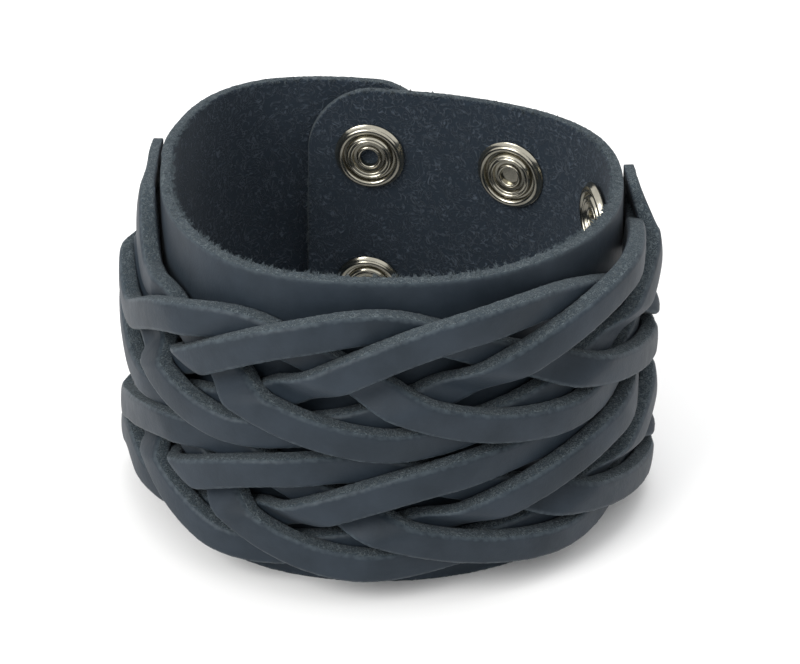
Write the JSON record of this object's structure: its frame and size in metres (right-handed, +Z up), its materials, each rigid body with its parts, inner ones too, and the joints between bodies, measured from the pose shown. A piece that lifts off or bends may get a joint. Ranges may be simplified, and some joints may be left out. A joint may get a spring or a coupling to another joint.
{
  "type": "braided leather snap cuff bracelet",
  "caption": "Wide oval leather cuff with a slit outer panel plaited into stacked flat braids, closed behind the wrist by ringed metal snaps in rows.",
  "frame": {"origin": "centre of the whole cuff's bounding box, on the surface that its lower edge stands on", "axes": "+Z up along the wrist's axis, the braided front faces -Y, the snap closure is at +Y, wearer's view from the front has +X to the right"},
  "size_m": [0.0808, 0.0798, 0.0465],
  "materials": {
    "band_leather": "dyed cowhide strip, smooth grain outside, napped suede inside, raw cut edges",
    "strap_leather": "dyed cowhide cut into plaited straps, satin grain face, raw grey cut edges",
    "nickel": "pressed brass sheet, bright nickel plate, slightly warm and scuffed"
  },
  "bodies": {
    "root": {"base_band": "band_leather", "braided_panel": "strap_leather", "eyelet_1": "nickel", "eyelet_2": "nickel", "eyelet_3": "nickel", "eyelet_4": "nickel", "eyelet_5": "nickel", "eyelet_6": "nickel", "stud_1": "nickel", "stud_2": "nickel", "stud_3": "nickel", "stud_4": "nickel", "stud_5": "nickel", "stud_6": "nickel", "socket_1": "nickel", "socket_2": "nickel", "cap_1": "nickel", "cap_2": "nickel"}
  },
  "joints": []
}
